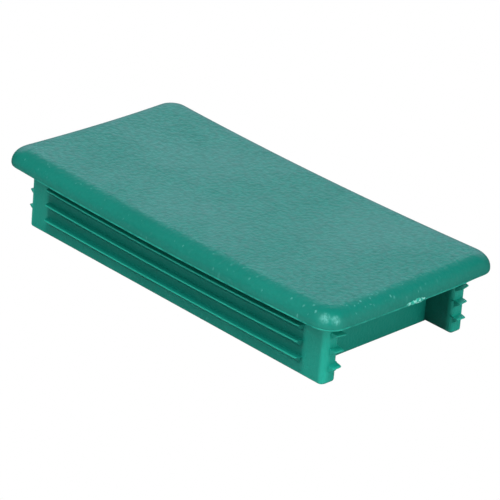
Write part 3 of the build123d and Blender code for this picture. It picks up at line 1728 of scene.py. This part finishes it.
@dataclass(frozen=True)
class SatinPlug(Finish):
    """Smoother plastic with faint upright draw marks and painted highlights along the barb tips.

    Args:
        plug: Plug whose ribs, stubs and cross walls carry painted light and shade.
        specular: Strength of the plug's reflections.
        gloss: How much less rough it is than the cover.
        patch_scale: Waves per metre of the slow drift of tone.
        draw_stretch: Stretch of the draw marks along each axis.
        draw_scale: Waves per metre of the draw marks.
        draw_roughness: Roughness that the draw marks add.
        draw_height: Share of the grain's depth that the draw marks have.
        grain_scale: How much finer its grain is than the cover's.
        grain_share: Share of the grain's depth that is left.
        tooth_share: Strength of the grain's fine tooth.
        nicks: Nicks all over the plug.
        nick_share: Strength of the nicks.
        tip_fade: Distances below a barb's tip at which the painted highlight starts and is full.
        end_fade: Distances inside the stubs' ends at which their painted light starts and is full.
        end_share: Strength of the painted light on the stubs' ends.
        beside_fade: Length over which the painted light on the flats beside the ribs fades in.
        flat_fade: Distances inside the long faces at which the flats start and are full.
        flat_share: Strength of the painted light on those flats.
        cross_band: Distances past the cross wall's outer face that bound its painted highlight.
        cross_inset: How far the painted highlight stays away from the stubs.
        cross_share: Strength of the painted highlight.
        groove_rows: Distances past the lowest and the highest rib that bound the grooves.
        groove_band: Distances past the long face that bound them.
        groove_softness: Softness of those two bounds.
        groove_share: Strength of the painted shade in the grooves.
        inner_band: Distances past a stub's inner face that bound its painted shade.
        softness: Softness of the bounds at the cross walls and the stubs.
        inner_share: Strength of the painted shade on the stubs' inner faces.
    """

    plug: Plug
    specular: float = 0.32
    gloss: float = 0.04
    patch_scale: float = 90.0
    draw_stretch: tuple[float, float, float] = (1.0, 1.0, 0.12)
    draw_scale: float = 1400.0
    draw_roughness: float = 0.12
    draw_height: float = 0.10
    grain_scale: float = 1.3
    grain_share: float = 0.22
    tooth_share: float = 0.4
    nicks: NickPattern = NickPattern(420.0, 0.10, 0.3)
    nick_share: float = 0.18
    tip_fade: Span = (0.42 * MM, 0.12 * MM)
    end_fade: Span = (1.3 * MM, 0.5 * MM)
    end_share: float = 0.65
    beside_fade: float = 0.8 * MM
    flat_fade: Span = (1.5 * MM, 0.5 * MM)
    flat_share: float = 0.35
    cross_band: Span = (-0.5 * MM, 0.3 * MM)
    cross_inset: float = 0.1 * MM
    cross_share: float = 0.3
    groove_rows: Span = (-0.6 * MM, -0.8 * MM)
    groove_band: Span = (-0.3 * MM, 0.25 * MM)
    groove_softness: Span = (0.3 * MM, 0.35 * MM)
    groove_share: float = 0.85
    inner_band: Span = (-0.3 * MM, 0.2 * MM)
    softness: float = 0.2 * MM
    inner_share: float = 0.9

    def dress(self, canvas: NodeCanvas, shader: Node, place: Socket) -> None:
        """Wire the finish into the shader's colour, roughness and normal.

        Args:
            canvas: Material's canvas.
            shader: Principled shader.
            place: Place on the cap, as a socket.
        """
        plastic = self.plastic
        shader.inputs["Specular IOR Level"].default_value = self.specular
        drift = self.effects.drift.place(canvas, Place=place, Patch_Scale=self.patch_scale)
        upright = canvas.vector_math("MULTIPLY", place, self.draw_stretch)
        draw_marks = canvas.noise(upright, self.draw_scale)
        grain = self.effects.grain.place(
            canvas,
            Place=place,
            Cell_Scale=self.grain_scale / plastic.grain_size,
            Tooth_Scale=1.0 / plastic.fine_size,
            Tooth_Share=self.tooth_share,
        )
        nicks = self.nicks.mask(canvas, self.effects.nicks, place)
        reach = PlugReach(canvas, place)

        colour = canvas.mix_colour(drift.outputs["Patches"], plastic.deep, plastic.body)
        for share, tone in (
            (canvas.line(nicks, self.nick_share), plastic.bruised),
            # Painted shade in the grooves and on the stubs' inner faces.
            (self._painted_shade(canvas, reach), plastic.pits_and_painted_shade),
            # Painted light on the stubs' ends and flats, painted highlight on the cross walls.
            (self._painted_light(canvas, reach), plastic.painted_light_tone),
            # Painted highlight along the barb tips.
            (self._tip_highlights(canvas, reach), plastic.rubbed_tone_and_tip_highlight),
        ):
            colour = canvas.mix_colour(share, colour, tone)
        canvas.join(colour, shader.inputs["Base Color"])

        rough = canvas.line(draw_marks, self.draw_roughness, plastic.roughness - self.gloss)
        canvas.join(rough, shader.inputs["Roughness"])
        height = canvas.line(grain.outputs["Height"], self.grain_share)
        height = canvas.math("ADD", height, canvas.line(draw_marks, self.draw_height))
        self.bump(canvas, shader, height, plastic.grain_depth)

    def _tip_highlights(self, canvas: NodeCanvas, reach: PlugReach) -> Socket:
        """1 along the tips of the ribs and teeth, where a paler tone paints their highlight.

        Args:
            canvas: Material's canvas.
            reach: Reach of the shaded point.

        Returns:
            The mask's socket.
        """
        plug = self.plug
        start, full = self.tip_fade
        rib_tip = plug.half_width + plug.rib_reach
        tooth_tip = plug.half_length + plug.tooth_outer_reach
        ribs = canvas.ramp(reach.across, rib_tip - start, rib_tip - full)
        teeth = canvas.ramp(reach.along, tooth_tip - start, tooth_tip - full)
        return canvas.math("MAXIMUM", ribs, teeth)

    def _painted_light(self, canvas: NodeCanvas, reach: PlugReach) -> Socket:
        """Painted light on the stubs' ends and on the flats beside the ribs, and a painted
        highlight on the cross walls.

        Args:
            canvas: Material's canvas.
            reach: Reach of the shaded point.

        Returns:
            The strength's socket.
        """
        plug = self.plug
        end = canvas.ramp(reach.along, *(plug.half_length - fade for fade in self.end_fade))
        rib_end = plug.rib_half_length
        beside = canvas.ramp(reach.along, rib_end, rib_end + self.beside_fade)
        outer = canvas.ramp(reach.across, *(plug.half_width - fade for fade in self.flat_fade))
        flat = canvas.math("MULTIPLY", beside, outer)
        low, high = (plug.cross_outer + bound for bound in self.cross_band)
        cross = canvas.band(reach.along, low, high, self.softness)
        between = canvas.math("LESS_THAN", reach.across, plug.stub_inner - self.cross_inset)
        cross = canvas.math("MULTIPLY", cross, between)
        total = canvas.line(flat, self.flat_share)
        total = canvas.math("ADD", total, canvas.line(end, self.end_share))
        return canvas.math("ADD", total, canvas.line(cross, self.cross_share))

    def _painted_shade(self, canvas: NodeCanvas, reach: PlugReach) -> Socket:
        """Painted shade in the grooves between the ribs and on the stubs' inner faces.

        Args:
            canvas: Material's canvas.
            reach: Reach of the shaded point.

        Returns:
            The strength's socket.
        """
        plug = self.plug
        top_rib = plug.depth - plug.rib_first_depth
        low_rib = top_rib - plug.row_pitch * (len(plug.tooth_reaches) - 1)
        below, above = self.groove_rows
        row_softness, face_softness = self.groove_softness
        rows = canvas.band(reach.height, low_rib + below, top_rib + above, row_softness)
        low, high = (plug.half_width + bound for bound in self.groove_band)
        face = canvas.band(reach.across, low, high, face_softness)
        inside = canvas.math("LESS_THAN", reach.along, plug.rib_half_length)
        groove = canvas.math("MULTIPLY", canvas.math("MULTIPLY", rows, face), inside)
        low, high = (plug.stub_inner + bound for bound in self.inner_band)
        inner = canvas.band(reach.across, low, high, self.softness)
        beyond = canvas.math("GREATER_THAN", reach.along, plug.cross_outer + self.softness)
        stub = canvas.line(canvas.math("MULTIPLY", inner, beyond), self.inner_share)
        return canvas.math("MAXIMUM", canvas.line(groove, self.groove_share), stub)


@dataclass(frozen=True)
class PatchyFinish(Finish):
    """Plastic that is paler in patches, such as flash, or whitened where it was torn.

    Args:
        dull: Colour between the patches.
        bright: Colour of the patches.
        scale: Waves per metre of the patches.
        noise_roughness: Strength of the patches' finer layers.
        bounds: Noise values at which a patch starts and is full.
        gloss: How much less rough it is than the cover.
        depth: Depth of the patches' relief.
        noise_detail: How many finer layers the patches have.
        added_roughness: Roughness that the patches add.
    """

    dull: Colour
    bright: Colour
    scale: float
    noise_roughness: float
    bounds: Span
    gloss: float
    depth: float
    noise_detail: float = 3.0
    added_roughness: float = 0.1

    def dress(self, canvas: NodeCanvas, shader: Node, place: Socket) -> None:
        """Wire the finish into the shader's colour, roughness and normal.

        Args:
            canvas: Material's canvas.
            shader: Principled shader.
            place: Place on the cap, as a socket.
        """
        patches = canvas.noise(place, self.scale, self.noise_detail, self.noise_roughness)
        share = canvas.ramp(patches, *self.bounds)
        colour = canvas.mix_colour(share, self.dull, self.bright)
        canvas.join(colour, shader.inputs["Base Color"])
        plain = self.plastic.roughness - self.gloss
        rough = canvas.line(patches, self.added_roughness, plain)
        canvas.join(rough, shader.inputs["Roughness"])
        self.bump(canvas, shader, patches, self.depth)


class Finisher:
    """Makes the cap's materials from one plastic and one set of effects."""

    def __init__(self, plastic: Plastic, plate: CoverPlate, plug: Plug) -> None:
        """Set the finish of each kind of surface.

        Args:
            plastic: Colours and gloss of the plastic.
            plate: Plate whose rim bounds the grained field.
            plug: Plug whose barb tips carry a painted highlight.
        """
        effects = Effects()
        self.finishes: dict[Surface, Finish] = {
            Surface.GRAINED_COVER: GrainedCover(plastic, effects, plate),
            Surface.SATIN_PLUG: SatinPlug(plastic, effects, plug),
            Surface.FLASH_LINE: PatchyFinish(
                plastic,
                effects,
                dull=plastic.body,
                bright=plastic.rubbed_tone_and_tip_highlight,
                scale=500.0,
                noise_roughness=0.6,
                bounds=(0.3, 0.7),
                gloss=0.08,
                depth=0.03 * MM,
            ),
            Surface.TORN_GATE: PatchyFinish(
                plastic,
                effects,
                dull=plastic.rubbed_tone_and_tip_highlight,
                bright=plastic.torn,
                scale=1500.0,
                noise_roughness=0.7,
                bounds=(0.44, 0.60),
                gloss=0.0,
                depth=0.08 * MM,
            ),
        }

    def material(self, surface: Surface) -> Material:
        """Make the material of a kind of surface."""
        return self.finishes[surface].material(surface)


@dataclass(frozen=True)
class SoftBox:
    """Rectangular studio light that faces the cap."""

    name: str
    azimuth: float
    elevation: float
    distance: float
    width: float
    height: float
    power: float
    in_gloss: bool = False
    tint: Colour = (1.0, 1.0, 1.0)

    def build(self, target: Vector) -> Piece:
        """Hang the light and point it at the target.

        Args:
            target: Point that it faces.

        Returns:
            The light.
        """
        data = bpy.data.lights.new(self.name, "AREA")
        data.shape = "RECTANGLE"
        data.size, data.size_y = self.width, self.height
        data.energy = self.power
        data.color = self.tint
        light = bpy.data.objects.new(self.name, data)
        bpy.context.scene.collection.objects.link(light)
        away = view_direction(self.azimuth, self.elevation)
        light.location = target + away * self.distance
        light.rotation_mode = "QUATERNION"
        light.rotation_quaternion = (-away).to_track_quat("-Z", "Y")
        light.visible_glossy = self.in_gloss
        return light


def view_direction(azimuth: float, elevation: float) -> Vector:
    """Way from the cap towards a viewer, from angles in degrees.

    Args:
        azimuth: Degrees round from looking along +Y.
        elevation: Degrees above the horizon.

    Returns:
        Unit vector towards the viewer.
    """
    turn, rise = math.radians(azimuth), math.radians(elevation)
    return Vector(
        (math.sin(turn) * math.cos(rise), -math.cos(turn) * math.cos(rise), math.sin(rise))
    )


@dataclass(frozen=True)
class Viewpoint:
    """Camera for the main view.

    Args:
        azimuth: Degrees round from looking along +Y.
        elevation: Degrees above the horizon.
        roll: Degrees that the view leans.
        distance: From the aimed point to the camera.
        lens: Focal length, in millimetres.
        aside: Sideways offset of the camera from the aimed point's axis.
        above: Upward offset of the camera from the aimed point's axis.
        aimed_height: Height of the aimed point, which lies on the cap's upright axis.
        sensor: Width of the sensor, in millimetres.
        nearest: Distance below which nothing shows.
    """

    azimuth: float = 44.19
    elevation: float = 25.79
    roll: float = 4.675
    distance: float = 511.95 * MM
    lens: float = 206.82
    aside: float = 1.025 * MM
    above: float = -5.42 * MM
    aimed_height: float = 11.11 * MM
    sensor: float = 36.0
    nearest: float = 10.0 * MM

    def build(self) -> Piece:
        """Place the camera.

        Returns:
            The camera, set as the scene's own.
        """
        back = view_direction(self.azimuth, self.elevation)
        turn = math.radians(self.azimuth)
        level = Vector((math.cos(turn), math.sin(turn), 0.0))
        upright = back.cross(level)
        lean = math.radians(self.roll)
        right = level * math.cos(lean) + upright * math.sin(lean)
        up = upright * math.cos(lean) - level * math.sin(lean)
        data = bpy.data.cameras.new("main_view")
        data.sensor_width = self.sensor
        data.lens = self.lens
        data.clip_start = self.nearest
        camera = bpy.data.objects.new("main_view", data)
        bpy.context.scene.collection.objects.link(camera)
        aimed = Vector((0.0, 0.0, self.aimed_height))
        place = aimed + back * self.distance + right * self.aside + up * self.above
        turned = Matrix((right, up, back)).transposed().to_4x4()
        camera.matrix_world = Matrix.Translation(place) @ turned
        bpy.context.scene.camera = camera
        return camera


@dataclass(frozen=True)
class Studio:
    """Pale floor, white surroundings and soft boxes.

    Args:
        floor_half: Half of the floor's width.
        floor_gap: How far the floor lies below the cap, so that their faces don't coincide.
        floor_colour: Colour that the floor's light bounces with.
        floor_gloss: Brightness of the floor as glossy surfaces mirror it.
        lights: Soft boxes.
    """

    floor_half: float = 3.0
    floor_gap: float = 0.02 * MM
    floor_colour: Colour = (0.80, 0.80, 0.80)
    floor_gloss: float = 0.06
    lights: tuple[SoftBox, ...] = (
        SoftBox("left_box", -20.0, 50.0, 1.0, 0.6, 0.6, 4.4),
        SoftBox("front_box", 0.0, 30.0, 1.0, 0.6, 0.6, 3.5),
        SoftBox("high_box", 58.0, 60.0, 1.0, 0.6, 0.6, 4.5),
        SoftBox("right_box", 90.0, 25.0, 1.0, 0.6, 0.6, 4.5),
        SoftBox("back_panel", 224.0, 22.0, 1.2, 1.6, 0.4, 6.6, True, (0.70, 0.77, 1.0)),
        SoftBox("side_panel", 134.0, 12.0, 1.2, 1.2, 0.5, 2.6),
    )

    def build(self, target: Vector) -> None:
        """Set up the floor, the surroundings and the soft boxes.

        Args:
            target: Point that the lights face.
        """
        self._floor()
        self._surroundings()
        for light in self.lights:
            light.build(target)
        settings = bpy.context.scene.view_settings
        settings.view_transform = "Standard"
        settings.look = "None"

    def _floor(self) -> None:
        """Level floor that the camera sees as plain white, and that bounces light softly."""
        half = self.floor_half
        mesh = bmesh.new()
        corners = ((-half, -half), (half, -half), (half, half), (-half, half))
        mesh.faces.new([mesh.verts.new((x, y, -self.floor_gap)) for x, y in corners])
        data = bpy.data.meshes.new("floor")
        mesh.to_mesh(data)
        mesh.free()
        floor = bpy.data.objects.new("floor", data)
        bpy.context.scene.collection.objects.link(floor)
        data.materials.append(self._paper())
        floor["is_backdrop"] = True

    def _paper(self) -> Material:
        """Matte paper that glows white to the camera and faintly to glossy surfaces.

        Returns:
            The material.
        """
        paper = bpy.data.materials.new("floor_paper")
        paper.use_nodes = True
        paper.node_tree.nodes.clear()
        canvas = NodeCanvas(paper.node_tree)
        matte = canvas.add("ShaderNodeBsdfDiffuse")
        matte.inputs["Color"].default_value = (*self.floor_colour, 1.0)
        glow = canvas.add("ShaderNodeEmission")
        path = canvas.add("ShaderNodeLightPath").outputs
        mirrored = canvas.line(path["Is Glossy Ray"], self.floor_gloss)
        strength = canvas.math("ADD", path["Is Camera Ray"], mirrored)
        canvas.join(strength, glow.inputs["Strength"])
        body = canvas.add("ShaderNodeMixShader")
        unlit = canvas.math("ADD", path["Is Camera Ray"], path["Is Glossy Ray"])
        canvas.join(unlit, body.inputs["Fac"])
        canvas.join(matte.outputs["BSDF"], body.inputs[1])
        both = canvas.add("ShaderNodeAddShader")
        canvas.join(body.outputs["Shader"], both.inputs[0])
        canvas.join(glow.outputs["Emission"], both.inputs[1])
        output = canvas.add("ShaderNodeOutputMaterial")
        canvas.join(both.outputs["Shader"], output.inputs["Surface"])
        return paper

    def _surroundings(self) -> None:
        """White backdrop that only the camera sees, so the soft boxes give all the light."""
        world = bpy.data.worlds.new("studio")
        world.use_nodes = True
        world.node_tree.nodes.clear()
        canvas = NodeCanvas(world.node_tree)
        background = canvas.add("ShaderNodeBackground")
        background.inputs["Color"].default_value = (1.0, 1.0, 1.0, 1.0)
        path = canvas.add("ShaderNodeLightPath")
        canvas.join(path.outputs["Is Camera Ray"], background.inputs["Strength"])
        output = canvas.add("ShaderNodeOutputWorld")
        canvas.join(background.outputs["Background"], output.inputs["Surface"])
        bpy.context.scene.world = world


@dataclass(frozen=True)
class EndCap:
    """The whole moulding: cover plate, plug, flash line and gate scar."""

    plate: CoverPlate
    plug: Plug
    curl: Curl
    flash: FlashLine
    scar: GateScar

    @classmethod
    def from_box(cls, low: Vector, high: Vector) -> "EndCap":
        """Cap whose overall sizes come from the CAD part's box.

        Args:
            low: Lowest corner of the box.
            high: Highest corner of the box.

        Returns:
            The cap, not yet built.
        """
        half_length, half_width = (high.x - low.x) / 2, (high.y - low.y) / 2
        thickness = CoverPlate.thickness
        plate = CoverPlate(half_length, half_width, high.z - thickness)
        return cls(
            plate,
            Plug(plate.seat_height),
            Curl(half_length, half_width),
            FlashLine(plate),
            GateScar(plate),
        )

    def build(self, finisher: Finisher) -> list[Piece]:
        """Build and dress every piece, and let each ride on the part.

        Args:
            finisher: Maker of the cap's materials.

        Returns:
            All pieces of the cap.
        """
        plug_finish = finisher.material(Surface.SATIN_PLUG)
        pieces = [self.plate.build(self.curl, finisher.material(Surface.GRAINED_COVER))]
        pieces += self.plug.build(self.curl, plug_finish)
        pieces.append(self.flash.build(self.curl, finisher.material(Surface.FLASH_LINE)))
        pieces.append(self.scar.build(self.curl, finisher.material(Surface.TORN_GATE)))
        for piece in pieces:
            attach(piece, "root")
            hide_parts(CAP_NODE)
            LOG.info("%s: %d faces", piece.name, len(piece.data.polygons))
        return pieces


def main() -> None:
    """Build the cap, its studio and its camera in order."""
    logging.basicConfig(level=logging.INFO, format="%(name)s: %(message)s")
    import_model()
    part_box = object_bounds()
    cap = EndCap.from_box(*part_box)
    cap.build(Finisher(Plastic(), cap.plate, cap.plug))
    Studio().build(Vector((0.0, 0.0, cap.plate.seat_height)))
    Viewpoint().build()


if __name__ == "__main__":
    main()
